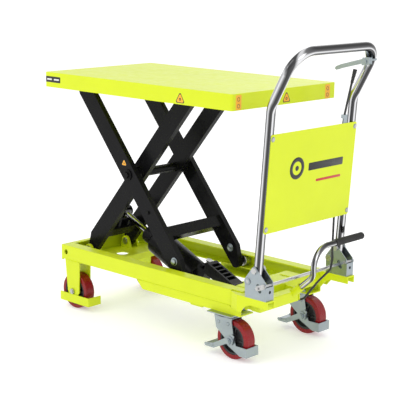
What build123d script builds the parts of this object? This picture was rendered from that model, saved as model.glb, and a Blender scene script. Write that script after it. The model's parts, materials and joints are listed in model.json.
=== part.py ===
"""Hydraulic scissor lift table on four wheels, drawn at real size in millimetres.

+X is the push-handle end, +Y the far side, +Z up.  The table is drawn around the
platform's centre line and moved on export so that the origin is the middle of its footprint.
"""
import os
from math import asin, atan, cos, degrees, radians, sin

from build123d import *

os.makedirs("parts", exist_ok=True)

# ---- driving dimensions -------------------------------------------------------------
CENTRE_X = 105.0            # middle of the whole object, from the platform's centre
PLATFORM_LENGTH = 850.0
PLATFORM_WIDTH = 500.0
PLATFORM_DEPTH = 50.0
PLATFORM_TOP = 830.0        # platform height in the drawn pose (350 lowered, 900 raised)
TRAY_SHEET = 3.0

ARM_REACH = 780.0           # pivot to pivot
PIVOT_X = -366.0            # the two fixed pivots stand over each other
LOWER_PIVOT_Z = 195.3
UPPER_PIVOT_Z = 808.7
RISE = UPPER_PIVOT_Z - LOWER_PIVOT_Z
ARM_ANGLE = degrees(asin(RISE / ARM_REACH))
RUN = ARM_REACH * cos(radians(ARM_ANGLE))
ROLLER_X = PIVOT_X + RUN
CROSS_X = PIVOT_X + RUN / 2
CROSS_Z = (LOWER_PIVOT_Z + UPPER_PIVOT_Z) / 2
OUTER_ARM_Y = (128.0, 148.0)
INNER_ARM_Y = (76.0, 96.0)
LOWER_END_RADIUS = 19.0
UPPER_END_RADIUS = 18.0
LOWER_ROLLER_RADIUS = 20.0
UPPER_ROLLER_RADIUS = 18.0
ROLLER_BORE = 9.05
ROLLER_PIN = 9.0
PIVOT_PIN = 10.0
CENTRE_PIN = 12.0
RUNNING_FIT = 0.05

RAIL_Y = 200.0              # outer face of the long rails
RAIL_BOTTOM = 171.0
RAIL_TOP = 222.0
RAIL_WALL = 4.0
RAIL_INNER_Y = 158.0
REAR_X = -404.0
FRONT_X = 430.0
SIDE_PLATE_BOTTOM = 143.0
HORN_Y = (182.0, 218.0)
HORN_TOP = 219.0
HORN_TIP = 550.0

CYLINDER_EYE = (-302.0, 327.0)
CYLINDER_SLOPE = 24.2
PUMP_PIVOT = (240.0, 160.0)
EYE_PIN = 7.0
EYE_BORE = 18.0             # wide bore: the ram's eye floats on its pin as the arms fold

HANDLE_RADIUS = 14.0
HANDLE_WALL = 2.5
HANDLE_Y = 200.0
HANDLE_FOOT = (495.5, 268.0)
HANDLE_BEND = (532.9, 799.8)
HANDLE_TOP = (621.0, 963.0)
HANDLE_PIVOT_Z = 306.6
LEG_SLOPE = (HANDLE_BEND[0] - HANDLE_FOOT[0]) / (HANDLE_BEND[1] - HANDLE_FOOT[1])
HANDLE_PIVOT = (HANDLE_FOOT[0] + LEG_SLOPE * (HANDLE_PIVOT_Z - HANDLE_FOOT[1]), HANDLE_PIVOT_Z)
HANDLE_LEAN = degrees(atan(LEG_SLOPE))
LATCH_PIVOT = (536.0, 265.0)
LATCH_REACH = 24.0
LATCH_ANGLE = 203.2
PEDAL_PIVOT = (472.0, 182.0)
PEDAL_SHAFT = 6.0

WHEEL_RADIUS = 62.5
WHEEL_WIDTH = 38.0
HUB_RADIUS = 48.0
AXLE_RADIUS = 6.0
FIXED_AXLE_X = -350.0
FIXED_WHEEL_Y = 173.0
SWIVEL_X = 359.0
CASTER_TRAIL = 38.0
CASTER_Y = 180.0
CASTER_BOLT_X = 40.0
CASTER_BOLT_Y = -150.0


# ---- drawing helpers ----------------------------------------------------------------
def block(x0, x1, y0, y1, z0, z1):
    """Box between two corners."""
    return Pos((x0 + x1) / 2, (y0 + y1) / 2, (z0 + z1) / 2) * Box(x1 - x0, y1 - y0, z1 - z0)


def bar_x(radius, x0, x1, y=0.0, z=0.0):
    """Round bar along X."""
    return Pos((x0 + x1) / 2, y, z) * Rot(0, 90, 0) * Cylinder(radius, x1 - x0)


def bar_y(radius, x, z, y0, y1):
    """Round bar along Y."""
    return Pos(x, (y0 + y1) / 2, z) * Rot(90, 0, 0) * Cylinder(radius, y1 - y0)


def bar_z(radius, x, y, z0, z1):
    """Round bar along Z."""
    return Pos(x, y, (z0 + z1) / 2) * Cylinder(radius, z1 - z0)


def sheet_xz(face, y0, y1):
    """Flat side view, given in X and Z, made into a plate from y0 to y1."""
    return extrude(Plane.XZ.offset(-y1) * face, amount=y1 - y0)


def outline(*points):
    """Face with straight edges through the points."""
    return make_face(Polyline(*points, close=True))


def slab_xy(face, z0, z1):
    """Flat plan view made into a plate from z0 to z1."""
    return extrude(Pos(0, 0, z0) * face, amount=z1 - z0)


def hexagon_y(x, z, y0, y1, across=17.0):
    """Hexagon bolt head along Y."""
    return sheet_xz(Pos(x, z) * RegularPolygon(across / 2, 6, major_radius=False), y0, y1)


def hexagon_z(x, y, z0, z1, across=17.0):
    """Hexagon bolt head or nut along Z."""
    return slab_xy(Pos(x, y) * RegularPolygon(across / 2, 6, major_radius=False), z0, z1)


def far(shape):
    """The same piece on the far side."""
    return mirror(shape, about=Plane.XZ)


def group(*shapes):
    """Separate solids kept under one name."""
    return Compound(children=list(shapes))


def save(name, shape):
    """Move the piece to the shared origin and write it."""
    export_step(Pos(-CENTRE_X, 0, 0) * shape, f"parts/{name}.step")


def save_pair(name, near_shape):
    """Write the near piece (at -Y) and its mirror image."""
    save(f"{name}_near", near_shape)
    save(f"{name}_far", far(near_shape))


# ---- platform -----------------------------------------------------------------------
def platform_tray():
    """Pressed tray, open underneath."""
    corner_radius = 9.0
    edge_radius = 2.0
    bottom = PLATFORM_TOP - PLATFORM_DEPTH
    plan = RectangleRounded(PLATFORM_LENGTH, PLATFORM_WIDTH, corner_radius)
    inner = RectangleRounded(PLATFORM_LENGTH - 2 * TRAY_SHEET, PLATFORM_WIDTH - 2 * TRAY_SHEET,
                             corner_radius - TRAY_SHEET)
    tray = slab_xy(plan, bottom, PLATFORM_TOP)
    tray = fillet(tray.edges().group_by(Axis.Z)[-1], edge_radius)
    return tray - slab_xy(inner, bottom, PLATFORM_TOP - TRAY_SHEET)


def underframe_side():
    """Angle track that holds the upper roller against the tray, with the two pivot lugs."""
    half = 24.0
    web_y = (-127.0, -124.0)
    track_start, end = -40.0, 421.9
    lip_bottom = 782.4
    sheet_under = PLATFORM_TOP - TRAY_SHEET
    web = block(PIVOT_X + half - 1, end, *web_y, lip_bottom, sheet_under)
    lip = block(track_start, end, web_y[1], -99.0, lip_bottom, lip_bottom + TRAY_SHEET)
    side = outline((PIVOT_X - half, sheet_under), (PIVOT_X + half, sheet_under),
                   (PIVOT_X + 14, 788.0), (PIVOT_X - 14, 788.0))
    hole = bar_y(PIVOT_PIN, PIVOT_X, UPPER_PIVOT_Z, -200, 0)
    outer_lug = sheet_xz(side, -158.0, -152.0) - hole
    inner_lug = sheet_xz(side, web_y[0], -118.0) - hole
    return web + lip + outer_lug + inner_lug


def platform_underframe():
    """Both tracks and lug pairs, joined by a strap across the tray's rear end."""
    strap_x = PIVOT_X - 24.0
    strap = block(strap_x, strap_x + 4, -158.0, 158.0, 792.0, PLATFORM_TOP - TRAY_SHEET)
    return underframe_side() + far(underframe_side()) + strap


def upper_pivot_pin():
    """Headed pin through the platform lugs and the outer arm."""
    pin = bar_y(PIVOT_PIN, PIVOT_X, UPPER_PIVOT_Z, -163.0, -113.0)
    head = bar_y(13.0, PIVOT_X, UPPER_PIVOT_Z, -162.0, -158.0)
    clip = bar_y(12.0, PIVOT_X, UPPER_PIVOT_Z, -118.0, -115.0)
    return pin + head + clip


def platform_nodes():
    save("platform_tray", platform_tray())
    save("platform_underframe", platform_underframe())
    save("upper_pivot_pins", group(upper_pivot_pin(), far(upper_pivot_pin())))


# ---- base frame ---------------------------------------------------------------------
def base_rail():
    """Long C rail open towards the middle, with a lightening hole near its rear end."""
    end = 390.0
    web = block(REAR_X, end, -RAIL_Y, -RAIL_Y + RAIL_WALL, RAIL_BOTTOM, RAIL_TOP)
    web = web - bar_y(9.0, -385.0, 198.0, -RAIL_Y - 1, -RAIL_Y + RAIL_WALL + 1)
    bottom = block(REAR_X, end, -RAIL_Y, -RAIL_INNER_Y, RAIL_BOTTOM, RAIL_BOTTOM + RAIL_WALL)
    top = block(REAR_X, end, -RAIL_Y, -RAIL_INNER_Y, RAIL_TOP - RAIL_WALL, RAIL_TOP)
    rail = web + bottom + top
    rail = fillet(rail.edges().filter_by(Axis.X).group_by(Axis.Y)[0], 3.0)
    for z0 in (RAIL_BOTTOM, RAIL_TOP - RAIL_WALL):
        rail += block(end, FRONT_X - 2, -191.0, -RAIL_INNER_Y, z0, z0 + RAIL_WALL)
    return rail


def side_plate():
    """Deep plate under the front half of a rail, turned in below to carry the caster."""
    start, end = -26.0, FRONT_X
    slope_end = 0.0
    flange_inner = -140.0
    outer = outline((start, RAIL_BOTTOM), (slope_end, SIDE_PLATE_BOTTOM),
                    (end, SIDE_PLATE_BOTTOM), (end, 166.0), (388.0, 166.0), (388.0, RAIL_BOTTOM))
    web = sheet_xz(outer, -RAIL_Y, -RAIL_Y + RAIL_WALL)
    flange = block(slope_end + 4, end, -RAIL_Y, flange_inner,
                   SIDE_PLATE_BOTTOM, SIDE_PLATE_BOTTOM + RAIL_WALL)
    stiffener = block(260.0, 264.0, -RAIL_Y + 2, flange_inner - 2,
                      SIDE_PLATE_BOTTOM + 2, RAIL_BOTTOM)
    for dx in (-CASTER_BOLT_X, CASTER_BOLT_X):
        flange -= bar_z(4.0, SWIVEL_X + dx, CASTER_BOLT_Y, 140.0, 150.0)
    return web + flange + stiffener


def rear_cross_member():
    """Upright end plate with a turned top edge and the floor plate welded in front of it."""
    inside_y = RAIL_INNER_Y - 12
    upright = block(REAR_X - 4, REAR_X, -RAIL_Y, RAIL_Y, RAIL_BOTTOM - 3, RAIL_TOP)
    top = block(REAR_X - 2, REAR_X + 16, -inside_y - 10, inside_y + 10, RAIL_TOP - 4, RAIL_TOP)
    floor = block(REAR_X - 2, -262.0, -inside_y, inside_y, 168.0, 172.0)
    toe = block(-266.0, -262.0, -inside_y, inside_y, 150.0, 170.0)
    floor = floor - bar_z(22.0, -310.0, 0.0, 160.0, 180.0)
    return upright + top + floor + toe


def base_lug(y0, y1):
    """Upright lug for the lower fixed pivot."""
    radius = 19.0
    foot = outline((PIVOT_X - 27, 172.0), (PIVOT_X + 27, 172.0),
                   (PIVOT_X + radius, LOWER_PIVOT_Z), (PIVOT_X - radius, LOWER_PIVOT_Z))
    plate = sheet_xz(foot, y0, y1) + bar_y(radius, PIVOT_X, LOWER_PIVOT_Z, y0, y1)
    return plate - bar_y(PIVOT_PIN, PIVOT_X, LOWER_PIVOT_Z, y0 - 1, y1 + 1)


def base_pivot_pin():
    """Headed pin through both lugs and the lower end of the inner arm."""
    pin = bar_y(PIVOT_PIN, PIVOT_X, LOWER_PIVOT_Z, -115.0, -63.0)
    head = bar_y(14.0, PIVOT_X, LOWER_PIVOT_Z, -116.0, -112.0)
    clip = bar_y(13.0, PIVOT_X, LOWER_PIVOT_Z, -67.0, -64.5)
    return pin + head + clip


def front_cross_member():
    """Front end plate with the pan over the pump and the two ears of the foot pedal shaft."""
    thickness = 4.0
    ear_x1 = PEDAL_PIVOT[0] + 20
    reach = HORN_Y[0] + thickness
    plate = block(FRONT_X, FRONT_X + thickness, -reach, reach, 172.0, 212.0)
    pan = block(345.0, FRONT_X + thickness, -124.0, 124.0, 208.0, 212.0)
    lip = block(345.0, 349.0, -124.0, 124.0, 196.0, 212.0)
    pan = pan - slab_xy(Pos(380.0, 71.0) * SlotOverall(40.0, 14.0), 200.0, 220.0)
    member = plate + pan + lip
    x, z = PEDAL_PIVOT
    for y0 in (-181.0, 8.0):
        member += block(FRONT_X, ear_x1, y0, y0 + thickness, 168.0, 206.0)
    member += bar_y(PEDAL_SHAFT, x, z, -182.0, 14.0)
    return member + hexagon_y(x, z, -186.0, -181.0, 15.0) + hexagon_y(x, z, 12.0, 17.0, 15.0)


def horn():
    """Channel, open below, that carries one handle bracket and flares out from the rail."""
    wall = 4.0
    flare = 390.0
    inner, outer = -HORN_Y[0], -HORN_Y[1]
    bottom = 166.0
    plan = outline((flare, -RAIL_Y), (FRONT_X, outer), (HORN_TIP, outer), (HORN_TIP, inner),
                   (FRONT_X + wall, inner), (FRONT_X + wall, -RAIL_Y + 8), (flare, -RAIL_Y + wall))
    hollow = outline((flare - 10, -RAIL_Y + 8.5), (FRONT_X + 1, outer + wall),
                     (HORN_TIP + 5, outer + wall), (HORN_TIP + 5, inner - wall),
                     (FRONT_X + wall, inner - wall), (FRONT_X - 10, -RAIL_Y + 12))
    arch = outline((HORN_TIP + 5, bottom - 5), (HORN_TIP + 5, 196.0), (482.0, 196.0),
                   (462.0, 188.0), (448.0, 172.0), (440.0, bottom - 5))
    shell = slab_xy(plan, bottom, HORN_TOP) - slab_xy(hollow, bottom - 5, HORN_TOP - wall)
    return shell - sheet_xz(arch, outer - 5, inner + 5)


def base_nodes():
    save_pair("base_rail", base_rail())
    save("side_plates", group(side_plate(), far(side_plate())))
    save("rear_cross_member", rear_cross_member())
    outer = base_lug(-112.0, -104.0)
    inner = base_lug(-75.0, -67.0)
    save("base_lugs", group(outer, inner, far(outer), far(inner)))
    save("base_pivot_pins", group(base_pivot_pin(), far(base_pivot_pin())))
    save("front_cross_member", front_cross_member())
    save("horns", group(horn(), far(horn())))


# ---- scissor arms -------------------------------------------------------------------
def arm_face():
    """Side view of an arm in the drawn pose, leaning right, with its lower end at the left pivot."""
    body = outline((0, -LOWER_END_RADIUS), (60, -20.2), (735, -33.0), (ARM_REACH, -UPPER_END_RADIUS),
                   (ARM_REACH, UPPER_END_RADIUS), (722, 27.2), (45, 40.1), (0, LOWER_END_RADIUS))
    face = body + Circle(LOWER_END_RADIUS) + Pos(ARM_REACH, 0) * Circle(UPPER_END_RADIUS)
    return Pos(PIVOT_X, LOWER_PIVOT_Z) * Rot(0, 0, ARM_ANGLE) * face


def arm_point(along, above):
    """X and Z of a point given along and above an inner arm's pivot line."""
    turn = radians(ARM_ANGLE)
    x = PIVOT_X + along * cos(turn) - above * sin(turn)
    z = LOWER_PIVOT_Z + along * sin(turn) + above * cos(turn)
    return x, z


def across(point):
    """The point mirrored to the outer arm, which leans the other way."""
    return 2 * CROSS_X - point[0], point[1]


def inner_arm():
    """Flat bar arm with a collar at its foot and a stub pin for the upper roller."""
    y0, y1 = -INNER_ARM_Y[1], -INNER_ARM_Y[0]
    arm = sheet_xz(arm_face(), y0, y1)
    arm += bar_y(17.0, PIVOT_X, LOWER_PIVOT_Z, y0 - 7.5, y1 + 0.5)
    arm += bar_y(22.0, CROSS_X, CROSS_Z, y0 - 15.0, y0)
    arm -= bar_y(PIVOT_PIN + RUNNING_FIT, PIVOT_X, LOWER_PIVOT_Z, y0 - 9, y1 + 2)
    arm -= bar_y(CENTRE_PIN, CROSS_X, CROSS_Z, y0 - 16, y1 + 1)
    return arm + roller_pin(ROLLER_X, UPPER_PIVOT_Z, -123.0, y1)


def outer_arm():
    """Mirrored bar with a hub on the centre pin, a stub pin for the lower roller and two bolts."""
    y0, y1 = -OUTER_ARM_Y[1], -OUTER_ARM_Y[0]
    arm = mirror(sheet_xz(arm_face(), y0, y1), about=Plane.YZ.offset(CROSS_X))
    arm += bar_y(22.0, CROSS_X, CROSS_Z, y1, y1 + 16.0)
    arm += roller_pin(ROLLER_X, LOWER_PIVOT_Z, -192.5, y1)
    arm += arm_bolt(51.0, 13.0, 17.0) + arm_bolt(240.0, 7.0, 10.0)
    arm -= bar_y(CENTRE_PIN + RUNNING_FIT, CROSS_X, CROSS_Z, y0 - 1, y1 + 17)
    return arm - bar_y(PIVOT_PIN + RUNNING_FIT, PIVOT_X, UPPER_PIVOT_Z, y0 - 1, y1 + 1)


def centre_pin():
    """Pin fixed in the inner arm, with a bolted cap outside the outer arm."""
    y_out = -OUTER_ARM_Y[1]
    pin = bar_y(CENTRE_PIN, CROSS_X, CROSS_Z, y_out - 0.5, -INNER_ARM_Y[0])
    cap = bar_y(19.0, CROSS_X, CROSS_Z, y_out - 4.5, y_out - 0.5)
    return pin + cap + hexagon_y(CROSS_X, CROSS_Z, y_out - 10.5, y_out - 4.5, 19.0)


def centre_tube():
    """Tube that ties the two inner arms together at the crossing."""
    half = INNER_ARM_Y[0]
    return bar_y(15.0, CROSS_X, CROSS_Z, -half, half) - bar_y(11.5, CROSS_X, CROSS_Z, -half, half)


def outer_cross_tube():
    """Square tube between the outer arms, low on their leg."""
    side, wall = 38.0, 3.0
    half = OUTER_ARM_Y[0]
    x, z = across(arm_point(151.0, 9.5))
    square = Rectangle(side, side) - Rectangle(side - 2 * wall, side - 2 * wall)
    return sheet_xz(Pos(x, z) * Rot(0, 0, -ARM_ANGLE) * square, -half, half)


def arm_bolt(along, above, across_flats):
    """Hexagon head on the outer face of the near outer arm."""
    x, z = across(arm_point(along, above))
    y_out = -OUTER_ARM_Y[1]
    return hexagon_y(x, z, y_out - 5, y_out, across_flats) + bar_y(
        across_flats * 0.62, x, z, y_out - 1.5, y_out)


def eye_crosshead():
    """Box bar between the inner arms with two lugs that take the pin of the ram's eye."""
    half = INNER_ARM_Y[0]
    x, z = arm_point(80.0, 10.0)
    foot = Pos(x, z) * Rot(0, 0, ARM_ANGLE) * Rectangle(36.0, 36.0)
    turn = radians(ARM_ANGLE)
    corner = 18.0
    side_x, side_z = corner * sin(turn), -corner * cos(turn)
    eye_x, eye_z = CYLINDER_EYE
    link = outline((x + side_x, z + side_z), (eye_x + side_x, eye_z + side_z),
                   (eye_x - side_x, eye_z - side_z), (x - side_x, z - side_z))
    lug = link + Pos(eye_x, eye_z) * Circle(20.0)
    head = sheet_xz(foot, -half, half)
    for y0 in (-26.0, 17.0):
        head += sheet_xz(lug, y0, y0 + 9)
    head += bar_y(EYE_PIN, eye_x, eye_z, -30.0, 32.0) + bar_y(11.0, eye_x, eye_z, -30.0, -26.0)
    return head + bar_y(10.0, eye_x, eye_z, 26.0, 28.8)


def roller(x, z, radius, y0, y1):
    """Steel roller with a chamfered rim."""
    body = bar_y(radius, x, z, y0, y1)
    body = chamfer(body.edges().filter_by(GeomType.CIRCLE), 1.5)
    return body - bar_y(ROLLER_BORE, x, z, y0 - 1, y1 + 1)


def roller_pin(x, z, y0, y1):
    """Stub pin pressed into an arm, with a retaining head beyond the roller."""
    return bar_y(ROLLER_PIN, x, z, y0, y1) + bar_y(12.0, x, z, y0, y0 + 1.5)


def scissor_nodes():
    save_pair("inner_arm", inner_arm())
    save_pair("outer_arm", outer_arm())
    save("centre_pins", group(centre_pin(), far(centre_pin())))
    save("centre_tube", centre_tube())
    save("outer_cross_tube", outer_cross_tube())
    save("eye_crosshead", eye_crosshead())
    lower = roller(ROLLER_X, LOWER_PIVOT_Z, LOWER_ROLLER_RADIUS, -190.0, -164.0)
    upper = roller(ROLLER_X, UPPER_PIVOT_Z, UPPER_ROLLER_RADIUS, -121.0, -99.0)
    save("lower_rollers", group(lower, far(lower)))
    save("upper_rollers", group(upper, far(upper)))


# ---- hydraulic pump and ram ---------------------------------------------------------
def on_ram(shape):
    """Place a shape drawn with X along the ram from its eye and Z square to it."""
    return Pos(CYLINDER_EYE[0], 0, CYLINDER_EYE[1]) * Rot(0, CYLINDER_SLOPE, 0) * shape


def pump_pivot_on_ram():
    """The pump's pivot measured along and above the ram's centre line."""
    dx = PUMP_PIVOT[0] - CYLINDER_EYE[0]
    dz = PUMP_PIVOT[1] - CYLINDER_EYE[1]
    turn = radians(CYLINDER_SLOPE)
    return dx * cos(turn) - dz * sin(turn), dx * sin(turn) + dz * cos(turn)


RAM_CAP = 137.0             # distances along the ram from its eye
RAM_TANK = (187.0, 400.0)
RAM_BORE_END = 396.0
PISTON_FACE = 296.0
PISTON_RADIUS = 22.0
ROD_RADIUS = 12.0


def cylinder_tube():
    """Ram tube with its knurled gland nut; bored for the piston."""
    tube = bar_x(28.0, RAM_CAP, RAM_BORE_END + 4)
    gland = chamfer(bar_x(30.0, RAM_CAP + 4, RAM_CAP + 40).edges().filter_by(GeomType.CIRCLE), 2)
    bore = bar_x(PISTON_RADIUS, RAM_CAP + 14, RAM_BORE_END)
    return on_ram(tube + gland - bore - bar_x(ROD_RADIUS + RUNNING_FIT, RAM_CAP - 1, RAM_CAP + 15))


def oil_tank():
    """Ring-shaped tank around the tube, with a filler plug."""
    start, end = RAM_TANK
    tank = bar_x(46.0, start, end)
    tank = fillet(tank.edges().filter_by(GeomType.CIRCLE), 5.0)
    tank -= bar_x(42.0, start + 6, end - 6) - bar_x(31.0, start + 5, end - 5)
    tank -= bar_x(28.0, start - 1, end + 1)
    return on_ram(tank + bar_z(7.0, start + 30, 0, 44.0, 50.0))


def pump_block():
    """Valve block behind the tank, with a pocketed tail that hangs on the pump pivot."""
    along, above = pump_pivot_on_ram()
    half = 24.0
    head = outline((400, -44), (400, 50), (428, 50), (432, 81), (along + 10, 81),
                   (along + 10, above - 6), (along - 12, above - 11), (518, 45), (440, 42), (428, -44))
    tail = sheet_xz(head, -half, half) + bar_y(12.0, along, above, -half, half)
    for pocket in range(5):
        start = 446 + 19 * pocket
        tail -= block(start, start + 14, 7 - half, half - 7, 56, 90)
    tail -= bar_y(7.0 + RUNNING_FIT, along, above, -half - 1, half + 1)
    tail += hexagon_z(414.0, -12.0, 50.0, 60.0)
    return on_ram(tail - bar_z(8.0 + RUNNING_FIT, 414.0, 12.0, 10.0, 51.0))


def pump_plunger():
    """Plunger of the foot pump with its round head."""
    plunger = bar_z(8.0, 414.0, 12.0, 22.0, 66.0)
    return on_ram(plunger + bar_z(11.0, 414.0, 12.0, 66.0, 71.0))


def release_valve():
    """Valve spindle in the side of the pump block with its short lever."""
    spindle = bar_y(6.0, 414.0, 15.0, 24.0, 40.0)
    lever = block(409.0, 419.0, 34.0, 38.0, -8.0, 24.0)
    return on_ram(spindle + lever)


def piston_rod():
    """Rod with the piston at one end and a wide eye at the other."""
    eye_radius = 25.0
    eye = bar_y(eye_radius, 0, 0, -14.0, 14.0)
    rod = bar_x(ROD_RADIUS, eye_radius - 4, PISTON_FACE - 14)
    piston = bar_x(PISTON_RADIUS - RUNNING_FIT, PISTON_FACE - 16, PISTON_FACE)
    return on_ram(eye + rod + piston - bar_y(EYE_BORE, 0, 0, -15.0, 15.0))


def pump_mount():
    """Cross bar between the side plates with two lugs and the stop for the release cable."""
    x, z = PUMP_PIVOT
    reach = 140.0
    top = 141.0
    member = block(x - 25, x + 25, -RAIL_Y + RAIL_WALL, RAIL_Y - RAIL_WALL, top - 4, top)
    for y0 in (-34.0, 26.0):
        lug = outline((x - 22, top), (x + 22, top), (x + 12, z), (x - 12, z))
        member += sheet_xz(lug, y0, y0 + 8) + bar_y(12.0, x, z, y0, y0 + 8)
    member += bar_y(7.0, x, z, -37.0, 37.0) + hexagon_y(x, z, -40.0, -34.0, 19.0)
    for y0 in (-reach - 30, reach):
        member += block(x - 15, x + 15, y0, y0 + 30, top, SIDE_PLATE_BOTTOM)
    member += block(x + 6, x + 22, 39.0, 53.0, top, 157.0)
    return member - lower_cable()


def hydraulic_nodes():
    save("cylinder_tube", cylinder_tube())
    save("oil_tank", oil_tank())
    save("pump_block", pump_block())
    save("pump_plunger", pump_plunger())
    save("release_valve", release_valve())
    save("piston_rod", piston_rod())
    save("pump_mount", pump_mount())


# ---- push handle --------------------------------------------------------------------
def on_handle(shape):
    """Place a shape drawn about the handle's pivot with Z up the leg."""
    return Pos(HANDLE_PIVOT[0], 0, HANDLE_PIVOT[1]) * Rot(0, HANDLE_LEAN, 0) * shape


def handle_path():
    """Centre line of the tube: two legs, a backward lean and the top bar."""
    ends = []
    for y in (-HANDLE_Y, HANDLE_Y):
        ends.append([(x, y, z) for x, z in (HANDLE_FOOT, HANDLE_BEND, HANDLE_TOP)])
    return FilletPolyline(*(ends[0] + ends[1][::-1]), radius=[80.0, 75.0, 75.0, 80.0])


def handle_bar(radius):
    """Solid bar of the given radius along the handle."""
    path = handle_path()
    return sweep(Plane(origin=path @ 0, z_dir=path % 0) * Circle(radius), path=path)


def handle_tube():
    """Bent tube, drilled for its pivot bolts."""
    x, z = HANDLE_PIVOT
    tube = handle_bar(HANDLE_RADIUS) - handle_bar(HANDLE_RADIUS - HANDLE_WALL)
    return tube - bar_y(6.0 + RUNNING_FIT, x, z, -220.0, 220.0)


PANEL_Z = (114.0, 415.0)    # measured up the leg from the handle's pivot
PANEL_FACE = 14.0
PANEL_SHEET = 2.0


def handle_panel():
    """Sheet screwed to the outer side of both legs."""
    low, high = PANEL_Z
    plate = RectangleRounded(416.0, high - low, 8.0)
    plate = extrude(Plane.YZ.offset(PANEL_FACE) * Pos(0, (low + high) / 2) * plate, PANEL_SHEET)
    return on_handle(plate)


def panel_screws():
    """Dome-headed screws and the small mark plate on the panel."""
    face = PANEL_FACE + PANEL_SHEET
    screws = []
    for y in (-HANDLE_Y, HANDLE_Y):
        for z in (PANEL_Z[0] + 14, PANEL_Z[1] - 14):
            head = bar_x(6.0, face, face + 3, y, z)
            screws.append(on_handle(fillet(head.edges().group_by(Axis.X)[-1], 1.5)))
    return group(*screws)


def lever_bracket():
    """Corner gusset, and a stub with two cheeks and the rivet that hold the hand lever."""
    top_x, top_z = HANDLE_TOP
    bend_x, bend_z = HANDLE_BEND
    corner = Plane((top_x, HANDLE_Y, top_z), (0, -1, 0), (top_z - bend_z, 0, bend_x - top_x))
    gusset = outline((3, 62), (58, 5), (68, 7), (38, 42), (5, 105))
    x, z = 612.0, 915.0
    cheek = outline((x - 12, z - 12), (x + 14, z - 8), (x + 14, z + 14), (x - 10, z + 12))
    bracket = sheet_xz(cheek, 156.0, 159.0) + sheet_xz(cheek, 141.0, 144.0)
    bracket += block(x + 10, x + 14, 141.0, 159.0, z - 6, z + 12)
    bracket += block(x - 10, x + 10, 159.0, 188.5, z + 2, z + 8)
    bracket += extrude(corner * gusset, 1.5, both=True)
    rivet = bar_y(4.0, x, z, 139.0, 161.0) + bar_y(7.0, x, z, 138.0, 141.0)
    return bracket + rivet + bar_y(7.0, x, z, 159.0, 162.0) - handle_bar(HANDLE_RADIUS)


def hand_lever():
    """Flat release lever, bent down to a rounded grip end."""
    y0, y1 = 146.0, 154.0
    blade = outline((618, 909), (618, 921), (600, 923), (560, 912), (520, 901), (500, 893),
                    (496, 886), (502, 882), (524, 889), (562, 899), (598, 908))
    lever = fillet(sheet_xz(blade, y0, y1).edges().filter_by(Axis.Y), 1.5)
    return lever - bar_y(4.0 + RUNNING_FIT, 612.0, 915.0, y0 - 1, y1 + 1)


def cable_sweep(points, radii, radius):
    """Round cable along straight runs joined by arcs."""
    path = FilletPolyline(*points, radius=radii)
    return sweep(Plane(origin=path @ 0, z_dir=path % 0) * Circle(radius), path=path)


CABLE_RADIUS = 3.5
CABLE_SPLIT = (511.0, 147.0, 304.0)     # where the cable passes the handle's pivot line


def upper_cable():
    """Release cable from the lever's boot down behind the panel to the pivot line."""
    points = [(569.0, 150.0, 880.0), (558.0, 150.0, 838.0), (536.5, 150.0, 742.0),
              (524.0, 149.0, 640.0), (513.0, 147.0, 430.0), CABLE_SPLIT]
    return cable_sweep(points, [60.0, 200.0, 200.0, 200.0], CABLE_RADIUS)


def lower_cable():
    """Release cable from the pivot line under the front plate to the pump."""
    points = [(511.0, 147.0, 303.0), (514.0, 146.0, 284.0), (534.0, 110.0, 255.0),
              (528.0, 55.0, 226.0), (494.0, 27.0, 166.0), (440.0, 27.0, 154.0),
              (330.0, 30.0, 149.0), (255.0, 46.0, 149.0)]
    return cable_sweep(points, [14.0, 22.0, 30.0, 24.0, 60.0, 120.0], CABLE_RADIUS)


def cable_boot():
    """Rubber boot over the upper end of the cable."""
    length = 46.0
    boot = Cone(CABLE_RADIUS + 3.5, CABLE_RADIUS + 1.5, length)
    lean = degrees(asin(11.0 / (11.0 ** 2 + 42.0 ** 2) ** 0.5))
    boot = Pos(565.2, 150.0, 865.6) * Rot(0, lean, 0) * Rot(180, 0, 0) * boot
    return boot - upper_cable()


def cable_clamp():
    """Small clamp standing on the panel's top edge."""
    top = PANEL_Z[1]
    tab = block(PANEL_FACE - 2.5, PANEL_FACE, 142.0, 158.0, top - 26, top + 26)
    ring = block(PANEL_FACE - 12.5, PANEL_FACE, 142.0, 158.0, top + 14, top + 26)
    return on_handle(tab + ring) - upper_cable()


def handle_bracket():
    """Plated bracket on a horn: two cheeks, a foot plate and a short web."""
    foot_z = HORN_TOP
    side = outline((488.0, 314.0), (495.0, 319.0), (503.0, 314.0), (541.5, 276.0), (544.5, foot_z),
                   (462.0, foot_z), (460.0, 276.0))
    cheeks = sheet_xz(side, -217.6, -214.6) + sheet_xz(side, -185.4, -182.4)
    foot = block(462.0, 544.5, -217.6, -182.4, foot_z, foot_z + 3)
    web = block(541.5, 544.5, -217.6, -182.4, foot_z, 262.0) - bar_x(5.0, 540, 546, -200.0, 246.0)
    x, z = HANDLE_PIVOT
    hole = bar_y(6.0, x, z, -230, -170) + bar_y(8.0, 471.0, 269.0, -230, -170)
    swing = bar_y(5.0 + RUNNING_FIT, *LATCH_PIVOT, -230, -170)
    return cheeks + foot + web - hole - swing - latch_slot()


def latch_slot():
    """Arc-shaped opening swept by the latch rod."""
    cut = Circle(LATCH_REACH + 5.6) - Circle(LATCH_REACH - 5.6)
    far_reach = 60.0
    wedge = [(0.0, 0.0)]
    for angle in (184.0, 205.0, 228.0):
        wedge.append((far_reach * cos(radians(angle)), far_reach * sin(radians(angle))))
    face = cut & outline(*wedge)
    for angle in (184.0, 228.0):
        end = Pos(LATCH_REACH * cos(radians(angle)), LATCH_REACH * sin(radians(angle)))
        face += end * Circle(5.6)
    return sheet_xz(Pos(*LATCH_PIVOT) * face, -230.0, -170.0)


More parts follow.
